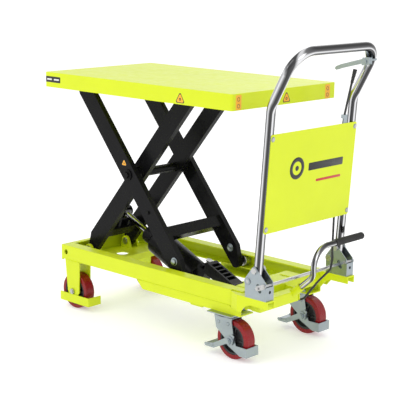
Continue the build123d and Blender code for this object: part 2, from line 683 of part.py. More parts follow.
def bracket_bolts():
    """Pivot bolt, stop bolt and foot bolt of one bracket."""
    x, z = HANDLE_PIVOT
    pivot = bar_y(6.0, x, z, -224.0, -176.0)
    pivot += hexagon_y(x, z, -223.6, -217.6, 18.0) + hexagon_y(x, z, -182.4, -176.4, 18.0)
    stop = bar_y(8.0, 471.0, 269.0, -219.0, -181.0)
    stop += bar_y(11.0, 471.0, 269.0, -220.0, -217.6) + bar_y(11.0, 471.0, 269.0, -182.4, -180.0)
    foot = hexagon_z(503.0, -200.0, HORN_TOP + 3, HORN_TOP + 9, 16.0)
    return pivot, stop, foot


def latch_bar():
    """Rod through the slots of both brackets, hung on two short links."""
    reach = 226.0
    px, pz = LATCH_PIVOT
    x = px + LATCH_REACH * cos(radians(LATCH_ANGLE))
    z = pz + LATCH_REACH * sin(radians(LATCH_ANGLE))
    bar = bar_y(5.0, x, z, -reach, reach)
    turn = radians(LATCH_ANGLE)
    dx, dz = -7.5 * sin(turn), 7.5 * cos(turn)
    strap = outline((x + dx, z + dz), (px + dx, pz + dz), (px - dx, pz - dz), (x - dx, z - dz))
    link = strap + Pos(x, z) * Circle(7.5) + Pos(px, pz) * Circle(7.5)
    near = sheet_xz(link, -222.0, -218.4) + bar_y(5.0, px, pz, -224.0, -180.0)
    return bar + near + far(near)


def handle_nodes():
    save("handle_tube", handle_tube())
    save("handle_panel", handle_panel())
    save("panel_screws", panel_screws())
    save("lever_bracket", lever_bracket())
    save("hand_lever", hand_lever())
    save("upper_cable", upper_cable())
    save("lower_cable", lower_cable())
    save("cable_boot", cable_boot())
    save("cable_clamp", cable_clamp())
    save_pair("handle_bracket", handle_bracket())
    bolts = bracket_bolts()
    save("bracket_bolts", group(*bolts, *[far(bolt) for bolt in bolts]))
    save("latch_bar", latch_bar())


# ---- foot pedal ---------------------------------------------------------------------
PEDAL_TUBE_START = (490.0, -14.0, 197.7)
PEDAL_TUBE_KNEE = (562.0, -14.0, 260.4)
GRIP_Z = 350.5
PEDAL_TUBE_RADIUS = 9.0


def pedal_beam():
    """Square beam on the pedal shaft, with the socket that holds the bent tube."""
    x, z = PEDAL_PIVOT
    half = 18.0
    y0, y1 = -176.0, 7.0
    beam = block(x - half, x + half, y0, y1, z - half, z + half)
    beam = fillet(beam.edges().filter_by(Axis.Y), 3.0)
    beam -= block(x - half + 4, x + half - 4, y0 + 4, y1 - 46, z - half + 4, z + half - 4)
    beam += bar_y(PEDAL_SHAFT + 4, x, z, y0, y1)
    start = Vector(*PEDAL_TUBE_START)
    direction = (Vector(*PEDAL_TUBE_KNEE) - start).normalized()
    plane = Plane(origin=start - direction * 10, z_dir=direction)
    socket = plane * Pos(0, 0, 22) * Cylinder(13.0, 44)
    beam += socket
    beam -= Plane(origin=start, z_dir=direction) * Pos(0, 0, 30) * Cylinder(PEDAL_TUBE_RADIUS, 60)
    return beam - bar_y(PEDAL_SHAFT + RUNNING_FIT, x, z, y0 - 1, y1 + 1)


def pedal_tube():
    """Bent tube from the socket up and across to the foot grip."""
    x, y, z = PEDAL_TUBE_KNEE
    points = [PEDAL_TUBE_START, (x, y, z), (x, y, GRIP_Z), (x, 228.0, GRIP_Z)]
    path = FilletPolyline(*points, radius=[40.0, 66.0])
    return sweep(Plane(origin=path @ 0, z_dir=path % 0) * Circle(PEDAL_TUBE_RADIUS), path=path)


def pedal_grip():
    """Rubber sleeve over the end of the pedal tube."""
    x = PEDAL_TUBE_KNEE[0]
    sleeve = bar_y(11.5, x, GRIP_Z, 91.0, 236.0)
    sleeve = fillet(sleeve.edges().group_by(Axis.Y)[-1], 4.0)
    return sleeve - bar_y(PEDAL_TUBE_RADIUS, x, GRIP_Z, 90.0, 228.0)


def pedal_nodes():
    save("pedal_beam", pedal_beam())
    save("pedal_tube", pedal_tube())
    save("pedal_grip", pedal_grip())


# ---- wheels -------------------------------------------------------------------------
def wheel_tread(x, y):
    """Tyre of a wheel, bonded around the hub."""
    half = WHEEL_WIDTH / 2
    ring = bar_y(WHEEL_RADIUS, x, WHEEL_RADIUS, y - half, y + half)
    ring = fillet(ring.edges().filter_by(GeomType.CIRCLE), 4.0)
    return ring - bar_y(HUB_RADIUS, x, WHEEL_RADIUS, y - half - 1, y + half + 1)


def wheel_hub(x, y, boss_half):
    """Dished wheel centre with a boss on its bearing."""
    half = WHEEL_WIDTH / 2
    z = WHEEL_RADIUS
    hub = bar_y(HUB_RADIUS, x, z, y - half + 1, y + half - 1)
    for side in (-1, 1):
        face = y + side * (half - 1)
        y0, y1 = sorted((face, face - side * 7))
        hub -= bar_y(HUB_RADIUS - 7, x, z, y0, y1)
    hub += bar_y(15.0, x, z, y - boss_half, y + boss_half)
    return hub - bar_y(AXLE_RADIUS + RUNNING_FIT, x, z, y - 40, y + 40)


def fixed_fork():
    """Plate fork under the rear corner with its foot guard strips."""
    top = RAIL_BOTTOM
    x0, x1 = -389.0, -316.0
    side = outline((x0, top), (x1, top), (x1 - 2, 60.0), (-332.0, 44.0), (-368.0, 44.0),
                   (-377.0, 62.0))
    fork = sheet_xz(side, -200.0, -196.0) + sheet_xz(side, -150.0, -146.0)
    fork += block(x0, x1, -200.0, -146.0, top - 4, top)
    fork += block(-412.0, -265.0, -204.0, -200.0, 22.0, 52.0)
    fork += block(-269.0, -265.0, -204.0, -146.0, 22.0, 52.0)
    return fork - bar_y(AXLE_RADIUS, FIXED_AXLE_X, WHEEL_RADIUS, -210, -140)


def axle(x, y0, y1):
    """Bolt through a fork with a nut at the other end."""
    z = WHEEL_RADIUS
    bolt = bar_y(AXLE_RADIUS, x, z, y0 - 8, y1 + 8)
    return bolt + hexagon_y(x, z, y0 - 6, y0, 18.0) + hexagon_y(x, z, y1, y1 + 6, 18.0)


def caster_plate():
    """Plate bolted under the side flange, with the swivel race and its four nuts."""
    top = SIDE_PLATE_BOTTOM
    x, y = SWIVEL_X, -CASTER_Y
    plate = block(x - 50, x + 50, y - 40, y + 40, top - 4, top)
    plate += bar_z(30.0, x, y, top - 10, top - 4)
    plate -= bar_z(8.0 + RUNNING_FIT, x, y, top - 11, top + 1)
    for dx in (-CASTER_BOLT_X, CASTER_BOLT_X):
        plate += bar_z(4.0, x + dx, CASTER_BOLT_Y, top - 6, top + 12)
        plate += hexagon_z(x + dx, CASTER_BOLT_Y, top + 4, top + 10, 13.0)
        plate += hexagon_z(x + dx, CASTER_BOLT_Y, top - 9, top - 4, 13.0)
    return plate


def caster_fork():
    """Swivel fork with king pin, axle and the foot guard in front of the wheel."""
    y = -CASTER_Y
    x = SWIVEL_X + CASTER_TRAIL
    z = WHEEL_RADIUS
    crown_top = 131.0
    inside, outside = 21.0, 25.0
    leg = outline((SWIVEL_X - 32, crown_top), (SWIVEL_X + 38, crown_top), (x + 13, 66.0),
                  (x + 8, 50.0), (x - 8, 50.0), (x - 24, 64.0), (SWIVEL_X - 24, 92.0))
    guard = outline((x - 13, 74.0), (x + 13, 74.0), (x + 24, 50.0), (x + 67, 50.0),
                    (x + 67, 20.0), (x + 40, 20.0), (x - 13, 46.0))
    fork = block(SWIVEL_X - 32, SWIVEL_X + 38, y - 25, y + 25, crown_top - 4, crown_top)
    fork += bar_z(29.0, SWIVEL_X, y, crown_top - 4, crown_top + 1.8)
    fork += bar_z(8.0, SWIVEL_X, y, crown_top - 4, SIDE_PLATE_BOTTOM - 0.5)
    for side in (-1, 1):
        y0, y1 = sorted((y + side * inside, y + side * outside))
        fork += sheet_xz(leg, y0, y1)
        y0, y1 = sorted((y + side * outside, y + side * (outside + 3)))
        fork += sheet_xz(guard, y0, y1)
    fork += block(x + 64, x + 67, y - 28, y + 28, 20.0, 50.0)
    return fork + axle(x, y - 34, y + 34)


def brake_pedal():
    """Foot brake swinging on the axle, outside the fork."""
    y = -CASTER_Y
    x = SWIVEL_X + CASTER_TRAIL
    cheek = outline((x - 2, 74.0), (x + 8, 86.0), (x + 20, 80.0), (x + 10, 52.0), (x - 12, 50.0),
                    (332.0, 24.0),
                    (296.0, 24.0), (293.0, 34.0), (330.0, 40.0), (x - 14, 70.0))
    cheek = cheek + Pos(x, WHEEL_RADIUS) * Circle(12.0)
    pedal = sheet_xz(cheek, y - 32, y - 29) + sheet_xz(cheek, y + 29, y + 32)
    pedal += block(293.0, 330.0, y - 32, y + 32, 28.0, 32.0)
    return pedal - bar_y(AXLE_RADIUS + RUNNING_FIT, x, WHEEL_RADIUS, y - 40, y + 40)


def wheel_nodes():
    fork = fixed_fork()
    save("fixed_forks", group(fork, far(fork)))
    bolt = axle(FIXED_AXLE_X, -200.0, -146.0)
    save("fixed_axles", group(bolt, far(bolt)))
    save_pair("fixed_tread", wheel_tread(FIXED_AXLE_X, -FIXED_WHEEL_Y))
    save_pair("fixed_hub", wheel_hub(FIXED_AXLE_X, -FIXED_WHEEL_Y, 22.0))
    plate = caster_plate()
    save("caster_plates", group(plate, far(plate)))
    save_pair("caster_fork", caster_fork())
    caster_x = SWIVEL_X + CASTER_TRAIL
    save_pair("caster_tread", wheel_tread(caster_x, -CASTER_Y))
    save_pair("caster_hub", wheel_hub(caster_x, -CASTER_Y, 20.5))
    save_pair("brake_pedal", brake_pedal())


platform_nodes()
base_nodes()
scissor_nodes()
hydraulic_nodes()
handle_nodes()
pedal_nodes()
wheel_nodes()
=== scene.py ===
"""Looks of the scissor lift table: materials, small visible pieces, light and camera."""
import json
from math import asin, atan, cos, pi, radians, sin

import bmesh
import bpy
from mathutils import Matrix, Vector


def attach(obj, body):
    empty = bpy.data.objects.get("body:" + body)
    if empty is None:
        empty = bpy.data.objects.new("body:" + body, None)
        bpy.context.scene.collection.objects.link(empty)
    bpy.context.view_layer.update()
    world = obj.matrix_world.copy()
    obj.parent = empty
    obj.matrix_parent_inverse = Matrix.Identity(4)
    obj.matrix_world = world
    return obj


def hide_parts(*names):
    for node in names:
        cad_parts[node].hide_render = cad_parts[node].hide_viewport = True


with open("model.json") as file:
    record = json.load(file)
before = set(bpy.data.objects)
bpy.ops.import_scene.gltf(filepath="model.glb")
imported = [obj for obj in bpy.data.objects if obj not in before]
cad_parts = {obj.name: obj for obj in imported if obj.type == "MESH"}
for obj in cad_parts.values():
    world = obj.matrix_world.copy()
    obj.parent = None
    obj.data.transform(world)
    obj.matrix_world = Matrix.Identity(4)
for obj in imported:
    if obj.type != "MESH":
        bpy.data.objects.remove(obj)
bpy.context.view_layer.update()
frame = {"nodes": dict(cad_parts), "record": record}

MM = 0.001
CENTRE_X = 105.0


def place(x, y, z):
    """A point drawn from the platform's centre in millimetres, in the scene's metres."""
    return Vector(((x - CENTRE_X) * MM, y * MM, z * MM))


# ---- materials ----------------------------------------------------------------------
def link(tree, a, out, b, into):
    tree.links.new(a.outputs[out], b.inputs[into])


def noise(tree, coords, scale, detail, roughness=0.55):
    node = tree.nodes.new("ShaderNodeTexNoise")
    node.inputs["Scale"].default_value = scale
    node.inputs["Detail"].default_value = detail
    node.inputs["Roughness"].default_value = roughness
    link(tree, coords, "Object", node, "Vector")
    return node


def ramp(tree, source, out, stops):
    node = tree.nodes.new("ShaderNodeValToRGB")
    node.color_ramp.elements[0].position = stops[0][0]
    node.color_ramp.elements[1].position = stops[-1][0]
    for element, (_, colour) in zip(node.color_ramp.elements, (stops[0], stops[-1])):
        element.color = (*colour, 1.0)
    link(tree, source, out, node, "Fac")
    return node


def grey(value):
    return (value, value, value)


def shade(colour, factor):
    return tuple(min(1.0, c * factor) for c in colour)


def material(name, colour, rough, metallic=0.0, coat=0.0, vary=0.06, grain=900.0, bump=0.05,
             wear=None, wear_rough=0.6, wear_at=0.70, specular=0.5, brushed=False):
    """Painted, plated or moulded surface with colour drift, roughness drift, wear and grain."""
    made = bpy.data.materials.new(name)
    made.use_nodes = True
    tree = made.node_tree
    shader = tree.nodes["Principled BSDF"]
    shader.inputs["Metallic"].default_value = metallic
    shader.inputs["Specular IOR Level"].default_value = specular
    shader.inputs["Coat Weight"].default_value = coat
    shader.inputs["Coat Roughness"].default_value = 0.12
    coords = tree.nodes.new("ShaderNodeTexCoord")
    drift = noise(tree, coords, 7.0, 4.0)
    tone = ramp(tree, drift, "Fac", [(0.3, shade(colour, 1 - vary)), (0.7, shade(colour, 1 + vary))])
    rough_noise = noise(tree, coords, 45.0, 5.0)
    rough_map = ramp(tree, rough_noise, "Fac",
                     [(0.25, grey(max(0.02, rough - 0.06))), (0.75, grey(min(1.0, rough + 0.08)))])
    base_node, base_out = tone, "Color"
    rough_node, rough_out = rough_map, "Color"
    if wear is not None:
        scuffs = noise(tree, coords, 38.0, 9.0, 0.72)
        mask = ramp(tree, scuffs, "Fac", [(wear_at, grey(0.0)), (wear_at + 0.04, grey(1.0))])
        blend = tree.nodes.new("ShaderNodeMixRGB")
        link(tree, mask, "Color", blend, "Fac")
        link(tree, tone, "Color", blend, "Color1")
        blend.inputs["Color2"].default_value = (*wear, 1.0)
        rougher = tree.nodes.new("ShaderNodeMixRGB")
        link(tree, mask, "Color", rougher, "Fac")
        link(tree, rough_map, "Color", rougher, "Color1")
        rougher.inputs["Color2"].default_value = (*grey(wear_rough), 1.0)
        base_node, base_out = blend, "Color"
        rough_node, rough_out = rougher, "Color"
    link(tree, base_node, base_out, shader, "Base Color")
    link(tree, rough_node, rough_out, shader, "Roughness")
    fine = noise(tree, coords, grain, 3.0)
    if brushed:
        stretch = tree.nodes.new("ShaderNodeMapping")
        stretch.inputs["Scale"].default_value = (0.06, 1.0, 1.0)
        link(tree, coords, "Object", stretch, "Vector")
        tree.links.new(stretch.outputs["Vector"], fine.inputs["Vector"])
    relief = tree.nodes.new("ShaderNodeBump")
    relief.inputs["Strength"].default_value = bump
    relief.inputs["Distance"].default_value = 0.0006
    link(tree, fine, "Fac", relief, "Height")
    link(tree, relief, "Normal", shader, "Normal")
    return made


def painted_reflection_bands(made, stops):
    """Painted reflection bands: dark to bright round each tube of a polished surface, by its own normal.
    """
    tree = made.node_tree
    shader = tree.nodes["Principled BSDF"]
    tone = shader.inputs["Base Color"].links[0].from_node
    coords = tree.nodes.new("ShaderNodeTexCoord")
    facing = tree.nodes.new("ShaderNodeVectorMath")
    facing.operation = "DOT_PRODUCT"
    facing.inputs[1].default_value = (0.62, 0.50, 0.60)
    link(tree, coords, "Normal", facing, 0)
    spread = tree.nodes.new("ShaderNodeMapRange")
    spread.inputs["From Min"].default_value = -1.0
    link(tree, facing, "Value", spread, "Value")
    reflection_band_ramp = ramp(tree, spread, "Result", [(stops[0][0], grey(stops[0][1])),
                                          (stops[-1][0], grey(stops[-1][1]))])
    for position, value in stops[1:-1]:
        reflection_band_ramp.color_ramp.elements.new(position).color = (*grey(value), 1.0)
    blend = tree.nodes.new("ShaderNodeMixRGB")
    blend.blend_type = "MULTIPLY"
    blend.inputs["Fac"].default_value = 1.0
    link(tree, tone, "Color", blend, "Color1")
    link(tree, reflection_band_ramp, "Color", blend, "Color2")
    link(tree, blend, "Color", shader, "Base Color")


LIME = (0.62, 0.72, 0.008)
LOOKS = {
    "green_paint": material("lime powder coat", LIME, 0.34, coat=0.08, vary=0.025, grain=420.0,
                            specular=0.30, bump=0.10, wear=(0.55, 0.65, 0.02), wear_at=0.80),
    "black_paint": material("black powder coat", (0.006, 0.006, 0.0065), 0.27, vary=0.2, specular=0.10,
                            grain=500.0, bump=0.16, wear=(0.03, 0.03, 0.031), wear_at=0.71),
    "zinc_plate": material("zinc plate", (0.34, 0.385, 0.41), 0.33, metallic=1.0, vary=0.12,
                           grain=300.0, bump=0.08, wear=(0.34, 0.36, 0.36), wear_at=0.66),
    "bare_steel": material("turned steel", (0.50, 0.50, 0.50), 0.28, metallic=1.0, vary=0.10,
                           grain=900.0, bump=0.08, wear=(0.30, 0.28, 0.25), brushed=True),
    "chrome": material("chrome plate", (0.80, 0.80, 0.82), 0.10, metallic=1.0, vary=0.03,
                       grain=120.0, bump=0.015, wear=(0.55, 0.55, 0.55), wear_rough=0.3,
                       wear_at=0.76),
    "red_tread": material("red polyurethane", (0.23, 0.004, 0.007), 0.28, specular=0.35, vary=0.15,
                          grain=260.0, bump=0.12, wear=(0.30, 0.05, 0.04), wear_at=0.66),
    "black_plastic": material("cable sheath", (0.014, 0.014, 0.015), 0.42, vary=0.2, grain=700.0,
                              bump=0.12, wear=(0.06, 0.06, 0.06)),
    "black_rubber": material("black rubber", (0.012, 0.012, 0.012), 0.62, vary=0.25, grain=1200.0,
                             bump=0.3, wear=(0.05, 0.05, 0.048), wear_at=0.66),
    "black_iron": material("black enamelled iron", (0.020, 0.020, 0.021), 0.45, vary=0.25,
                           grain=600.0, bump=0.25, wear=(0.10, 0.09, 0.085), wear_at=0.70),
}
ORANGE = material("amber sticker", (0.86, 0.40, 0.015), 0.35, vary=0.05, grain=800.0, bump=0.03,
                  wear=(0.75, 0.45, 0.20), wear_at=0.72)
INK = material("black vinyl", (0.012, 0.012, 0.012), 0.30, vary=0.1, grain=900.0, bump=0.03,
               wear=(0.08, 0.08, 0.08), wear_at=0.74)
PALE = material("pale vinyl", (0.70, 0.70, 0.68), 0.35, vary=0.04, grain=900.0, bump=0.03,
                wear=(0.45, 0.45, 0.42), wear_at=0.74)
RED = material("red vinyl", (0.50, 0.03, 0.03), 0.32, vary=0.05, grain=900.0, bump=0.03,
               wear=(0.55, 0.20, 0.18), wear_at=0.74)
FLOOR = material("studio floor", (0.80, 0.80, 0.80), 0.85, vary=0.01, grain=50.0, bump=0.01)
FLOOR.node_tree.nodes["Principled BSDF"].inputs["Emission Color"].default_value = (1.0, 1.0, 1.0, 1.0)
FLOOR.node_tree.nodes["Principled BSDF"].inputs["Emission Strength"].default_value = 0.34
# painted reflection on the chrome: bright and dark stripes set by the surface's own normal
painted_reflection_bands(LOOKS["chrome"], [(0.08, 0.05), (0.18, 0.22), (0.25, 0.95), (0.32, 0.30), (0.40, 0.06),
                          (0.58, 0.10), (0.64, 0.90), (0.71, 0.85), (0.77, 0.22), (0.92, 0.05)])

PAINTED_OVER = {"centre_pins": "black_paint"}
for entry in frame["record"]["subparts"]:
    node = frame["nodes"].get(entry["node"])
    if node is None:
        continue
    look = PAINTED_OVER.get(entry["node"], entry["material_slot"])
    node.data.materials.clear()
    node.data.materials.append(LOOKS[look])


# ---- mesh helpers -------------------------------------------------------------------
def finish_piece(name, mesh_data, look, body):
    """Link a mesh, shade it, give it its look and let it ride on its body."""
    mesh = bpy.data.meshes.new(name)
    mesh_data.to_mesh(mesh)
    mesh_data.free()
    for face in mesh.polygons:
        face.use_smooth = True
    piece = bpy.data.objects.new(name, mesh)
    bpy.context.collection.objects.link(piece)
    mesh.materials.append(look)
    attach(piece, body)
    return piece


def basis(axis):
    """Two directions square to an axis."""
    axis = Vector(axis).normalized()
    side = axis.orthogonal().normalized()
    return axis, side, axis.cross(side)


def lathe(name, profile, origin, axis, look, body, steps=56):
    """Turned piece: profile gives (radius, height) pairs in millimetres along the axis."""
    axis, u, v = basis(axis)
    mesh = bmesh.new()
    rings = []
    for radius, height in profile:
        ring = []
        for i in range(steps):
            turn = 2 * pi * i / steps
            spot = origin + axis * height * MM + (u * cos(turn) + v * sin(turn)) * radius * MM
            ring.append(mesh.verts.new(spot))
        rings.append(ring)
    for low, high in zip(rings, rings[1:]):
        for i in range(steps):
            j = (i + 1) % steps
            mesh.faces.new((low[i], low[j], high[j], high[i]))
    mesh.faces.new(rings[0][::-1])
    mesh.faces.new(rings[-1])
    return finish_piece(name, mesh, look, body)


def tile(name, centre, across, up, width, height, thick, corner, look, body):
    """Thin plate with round corners and a rolled edge, lying on a face."""
    across = Vector(across).normalized()
    up = Vector(up).normalized()
    out = across.cross(up)
    steps = 6
    loops = []
    for lift, inset in ((0.0, 0.0), (0.7, 0.0), (1.0, 0.25)):
        loop = []
        for cx, cy, start in ((1, 1, 0), (-1, 1, 90), (-1, -1, 180), (1, -1, 270)):
            for k in range(steps + 1):
                turn = radians(start + 90 * k / steps)
                reach = max(0.05, corner - inset)
                x = cx * (width / 2 - corner) + reach * cos(turn)
                y = cy * (height / 2 - corner) + reach * sin(turn)
                loop.append((x, y, lift * thick))
        loops.append(loop)
    mesh = bmesh.new()
    rings = [[mesh.verts.new(centre + (across * x + up * y + out * z) * MM) for x, y, z in loop]
             for loop in loops]
    count = len(rings[0])
    for low, high in zip(rings, rings[1:]):
        for i in range(count):
            j = (i + 1) % count
            mesh.faces.new((low[i], low[j], high[j], high[i]))
    mesh.faces.new(rings[0][::-1])
    mesh.faces.new(rings[-1])
    return finish_piece(name, mesh, look, body)


def bead(name, points, radius, look, body, closed=False):
    """Weld bead: a rippled rope laid along the points, all in metres."""
    pitch = 0.0022
    spots = []
    pairs = list(zip(points, points[1:] + points[:1])) if closed else list(zip(points, points[1:]))
    for a, b in pairs:
        count = max(2, int((b - a).length / pitch))
        spots += [a.lerp(b, k / count) for k in range(count)]
    if not closed:
        spots.append(points[-1])
    mesh = bmesh.new()
    rings = []
    total = len(spots)
    for i, spot in enumerate(spots):
        ahead = spots[(i + 1) % total] if closed or i + 1 < total else spot
        behind = spots[i - 1] if closed or i > 0 else spot
        _, u, v = basis(ahead - behind)
        swell = radius * MM * (1.0 + 0.16 * (i % 2))
        rings.append([mesh.verts.new(spot + (u * cos(t) + v * sin(t)) * swell)
                      for t in (2 * pi * k / 8 for k in range(8))])
    last = total if closed else total - 1
    for i in range(last):
        low, high = rings[i], rings[(i + 1) % total]
        for k in range(8):
            m = (k + 1) % 8
            mesh.faces.new((low[k], low[m], high[m], high[k]))
    if not closed:
        mesh.faces.new(rings[0][::-1])
        mesh.faces.new(rings[-1])
    bmesh.ops.recalc_face_normals(mesh, faces=mesh.faces)
    return finish_piece(name, mesh, look, body)


def ring(name, origin, axis, inner, outer, thick, look, body, slot=None, steps=56):
    """Flat ring with softened edges."""
    axis, u, v = basis(axis)
    soft = min(0.3, thick / 3)
    section = [(inner, 0.0), (outer, 0.0), (outer, thick - soft), (outer - soft, thick),
               (inner + soft, thick), (inner, thick - soft)]
    mesh = bmesh.new()
    loops = []
    for radius, height in section:
        loops.append([mesh.verts.new(origin + axis * height * MM
                                     + (u * cos(t) + v * sin(t)) * radius * MM)
                      for t in (2 * pi * k / steps for k in range(steps))])
    for low, high in zip(loops, loops[1:] + loops[:1]):
        for i in range(steps):
            j = (i + 1) % steps
            mesh.faces.new((low[i], low[j], high[j], high[i]))
    bmesh.ops.recalc_face_normals(mesh, faces=mesh.faces)
    return finish_piece(name, mesh, look, body)


def circle(origin, axis, radius, steps=40):
    """Points round a circle, in metres."""
    _, u, v = basis(axis)
    return [origin + (u * cos(t) + v * sin(t)) * radius * MM
            for t in (2 * pi * k / steps for k in range(steps))]


# ---- where things are ---------------------------------------------------------------
SIDES = (("near", -1), ("far", 1))
PIVOT_X, LOWER_Z, UPPER_Z, REACH = -366.0, 195.3, 808.7, 780.0
ARM_TURN = asin((UPPER_Z - LOWER_Z) / REACH)
ROLLER_X = PIVOT_X + REACH * cos(ARM_TURN)
CROSS = (PIVOT_X + REACH * cos(ARM_TURN) / 2, (LOWER_Z + UPPER_Z) / 2)
RAM_TURN = radians(24.2)
EYE = (-302.0, 327.0)
LEG_FOOT, LEG_BEND, LEG_Z = (495.5, 268.0), (532.9, 799.8), 306.6
LEG_SLOPE = (LEG_BEND[0] - LEG_FOOT[0]) / (LEG_BEND[1] - LEG_FOOT[1])
LEG_TURN = atan(LEG_SLOPE)
LEG_X = LEG_FOOT[0] + (LEG_Z - LEG_FOOT[1]) * LEG_SLOPE
WHEEL_Z = 62.5
CASTER_X, CASTER_Y, SWIVEL_X = 397.0, 180.0, 359.0
TRAY_NEAR, TRAY_END = -250.0, 425.0
PANEL_OUT = Vector((cos(LEG_TURN), 0, -sin(LEG_TURN)))
PANEL_UP = Vector((sin(LEG_TURN), 0, cos(LEG_TURN)))
ALONG_Y = Vector((0, 1, 0))
NEAR = Vector((0, -1, 0))


def on_ram(along, above, y=0.0):
    """Point measured along and above the ram from its eye."""
    return place(EYE[0] + along * cos(RAM_TURN) + above * sin(RAM_TURN), y,
                 EYE[1] - along * sin(RAM_TURN) + above * cos(RAM_TURN))


def on_leg(out, y, up):
    """Point measured from the handle's pivot: out from the leg, across, and up it."""
    return place(LEG_X, y, LEG_Z) + (PANEL_OUT * out + PANEL_UP * up) * MM


def outer_arm_point(along, above, y):
    """Point on an outer arm, from its lower roller pin."""
    x = ROLLER_X - along * cos(ARM_TURN) + above * sin(ARM_TURN)
    return place(x, y, LOWER_Z + along * sin(ARM_TURN) + above * cos(ARM_TURN))


def inner_arm_point(along, above, y):
    """Point on an inner arm, from its foot pivot."""
    x = PIVOT_X + along * cos(ARM_TURN) - above * sin(ARM_TURN)
    return place(x, y, LOWER_Z + along * sin(ARM_TURN) + above * cos(ARM_TURN))


# ---- stickers and plain marks -------------------------------------------------------
def triangle(name, centre, out, reach, thick, look, body):
    """Flat triangle with blunt corners standing on one side."""
    across = out.cross(Vector((0, 0, -1)))
    blunt = 0.16
    rim = []
    for k in range(3):
        for step in (-blunt, blunt):
            turn = pi / 2 + 2 * pi * k / 3 + step
            rim.append((reach * cos(turn), reach * sin(turn) * 0.97))
    mesh = bmesh.new()
    rings = [[mesh.verts.new(centre + (across * x * scale + Vector((0, 0, z * scale)) + out * up) * MM)
              for x, z in rim] for up, scale in ((0.0, 1.0), (thick * 0.7, 1.0), (thick, 0.985))]
    for low, high in zip(rings, rings[1:]):
        for i in range(len(rim)):
            j = (i + 1) % len(rim)
            mesh.faces.new((low[i], low[j], high[j], high[i]))
    mesh.faces.new(rings[0][::-1])
    mesh.faces.new(rings[-1])
    bmesh.ops.recalc_face_normals(mesh, faces=mesh.faces)
    return finish_piece(name, mesh, look, body)


def stickers():
    """Plain plates and signs in the places where the maker puts its own."""
    skin = 0.12
    plate_x, plate_z = -382.0, 806.5
    centre = place(plate_x, TRAY_NEAR, plate_z)
    tile("plate_tray", centre, (1, 0, 0), (0, 0, 1), 74, 20, skin, 3, INK, "platform")
    for i, (dx, width) in enumerate(((-19, 24), (17, 26))):
        tile(f"plate_tray_bar_{i}", place(plate_x + dx, TRAY_NEAR - skin, plate_z), (1, 0, 0),
             (0, 0, 1), width, 5, skin, 1, PALE, "platform")
    end = Vector((1, 0, 0))
    for name, spot, out, reach, body in (
            ("near", place(214.0, TRAY_NEAR, 796.0), NEAR, 19.0, "platform"),
            ("end", place(TRAY_END, 1.0, 798.0), end, 19.0, "platform"),
            ("arm", outer_arm_point(430.0, 9.0, -148.0), NEAR, 13.0, "outer_frame")):
        triangle(f"sign_{name}", spot, out, reach, skin, INK, body)
        triangle(f"sign_{name}_field", spot + out * skin * MM, out, reach * 0.80, skin, ORANGE, body)
        ring(f"sign_{name}_mark", spot + out * 2 * skin * MM, out, reach * 0.10, reach * 0.24, skin,
             INK, body, steps=24)
    for i, y in enumerate((-221.0, 207.5)):
        centre = place(TRAY_END, y, 804.0)
        tile(f"strip_end_{i}", centre, (0, 1, 0), (0, 0, 1), 25, 44, skin, 3, ORANGE, "platform")
        for k, z in enumerate((-11.0, 9.0)):
            spot = centre + Vector((skin, 0, z)) * MM
            ring(f"strip_end_{i}_mark_{k}", spot, end, 4.6, 6.2, skin, INK, "platform", steps=24)
    face = 16.0
    ring("mark_ring", on_leg(face, -76.0, 299.6), PANEL_OUT, 21, 34, 0.4, INK, "handle")
    lathe("mark_dot", [(8, 0), (8, 0.3), (7.6, 0.4)], on_leg(face, -76.0, 299.6), PANEL_OUT, INK,
          "handle")
    for i, (y, up, width, height, look) in enumerate((
            (66.0, 297.0, 172.0, 24.0, INK), (84.0, 250.0, 124.0, 8.0, RED))):
        tile(f"mark_bar_{i}", on_leg(face, y, up), (0, 1, 0), PANEL_UP, width, height, 0.4, 3, look,
             "handle")


# ---- welds --------------------------------------------------------------------------
def welds():
    """Weld beads where plates and tubes meet."""
    green, black = LOOKS["green_paint"], LOOKS["black_paint"]
    for side, s in SIDES:
        for y in (67.0, 75.0, 104.0, 112.0):
            bead(f"weld_lug_{side}_{int(y)}", [place(-392, s * y, 172.4), place(-340, s * y, 172.4)],
                 2.0, green, "base")
        bead(f"weld_rail_{side}", [place(2, s * 200, 171.2), place(386, s * 200, 171.2)], 1.3,
             green, "base")
        bead(f"weld_horn_{side}", [place(390.3, s * 200.0, 172), place(390.3, s * 200.0, 214)], 1.8,
             green, "base")
        bead(f"weld_fork_{side}", [place(-387, s * 200.0, 171), place(-318, s * 200.0, 171)], 1.8,
             green, "base")
        bead(f"weld_guard_{side}", [place(-366, s * 200.6, 52.2), place(-334, s * 200.6, 52.2)], 1.6,
             green, "base")
        bead(f"weld_end_{side}", [place(434.2, s * 181.4, 176), place(434.2, s * 181.4, 209)], 1.8,
             green, "base")
        bead(f"weld_tube_{side}", circle(place(CROSS[0], s * 75.2, CROSS[1]), ALONG_Y, 15.6), 1.6,
             black, "inner_frame", closed=True)
        bead(f"weld_collar_{side}", circle(place(CROSS[0], s * 96.4, CROSS[1]), ALONG_Y, 22.3), 1.5,
             black, "inner_frame", closed=True)
        corners = [outer_arm_point(151 + a, 9.5 + b, s * 127.2)
                   for a, b in ((-19, -19), (19, -19), (19, 19), (-19, 19))]
        bead(f"weld_square_{side}", corners, 1.8, black, "outer_frame", closed=True)
        foot = [inner_arm_point(80 + a, 10 + b, s * 75.3)
                for a, b in ((-18, -18), (18, -18), (18, 18), (-18, 18))]
        bead(f"weld_head_{side}", foot, 1.8, black, "inner_frame", closed=True)
    for i, along in enumerate((188.5, 398.5)):
        centre = on_ram(along, 0)
        axis = on_ram(along + 10, 0) - centre
        bead(f"weld_tank_{i}", circle(centre, axis, 42.5, 60), 1.6, black, "pump",
             closed=True)


